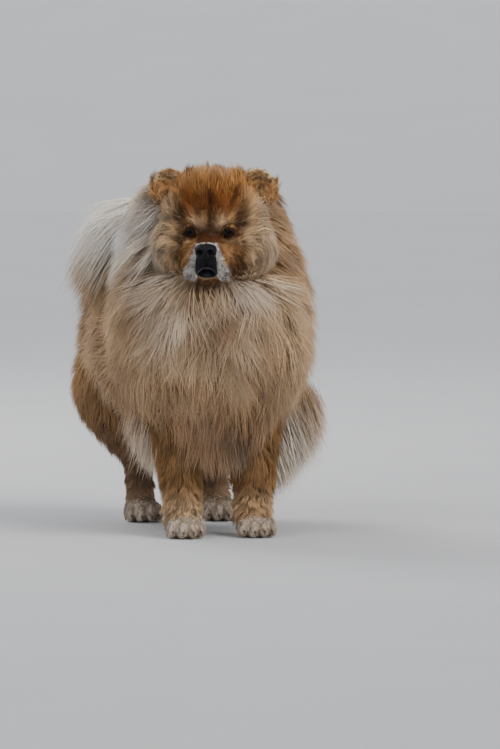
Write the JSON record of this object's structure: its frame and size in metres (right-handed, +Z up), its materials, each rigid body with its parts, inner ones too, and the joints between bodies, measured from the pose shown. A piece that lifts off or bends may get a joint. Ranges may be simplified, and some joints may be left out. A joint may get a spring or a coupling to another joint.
{
  "type": "chow chow dog",
  "caption": "A life-size golden chow chow standing square, with a deep ruff, small thick ears and a plumed tail curled over its back.",
  "frame": {"origin": "on the floor under the middle of the dog's bounding box", "axes": "+Z up, the dog faces -Y, its own left side is +X"},
  "size_m": [0.4423, 0.6717, 0.6592],
  "materials": {
    "head": "short dense rust-gold hair",
    "nose": "moist pebbled leather",
    "lower_jaw": "short cream hair, dark lip",
    "eye_left": "wet, glossy",
    "eye_right": "wet, glossy",
    "ear_left": "short velvety hair",
    "ear_right": "short velvety hair",
    "neck_ruff": "long soft cream hair, tan below",
    "torso": "long golden hair",
    "tail": "long pale plume",
    "foreleg_left": "dense golden hair",
    "foreleg_right": "dense golden hair",
    "hindleg_left": "long golden hair",
    "hindleg_right": "long golden hair",
    "forepaw_left": "short cream hair",
    "forepaw_right": "short cream hair",
    "hindpaw_left": "short cream hair",
    "hindpaw_right": "short cream hair"
  },
  "bodies": {
    "root": {"head": "head", "nose": "nose", "lower_jaw": "lower_jaw", "eye_left": "eye_left", "eye_right": "eye_right", "ear_left": "ear_left", "ear_right": "ear_right", "neck_ruff": "neck_ruff", "torso": "torso", "tail": "tail", "foreleg_left": "foreleg_left", "foreleg_right": "foreleg_right", "hindleg_left": "hindleg_left", "hindleg_right": "hindleg_right", "forepaw_left": "forepaw_left", "forepaw_right": "forepaw_right", "hindpaw_left": "hindpaw_left", "hindpaw_right": "hindpaw_right"}
  },
  "joints": []
}
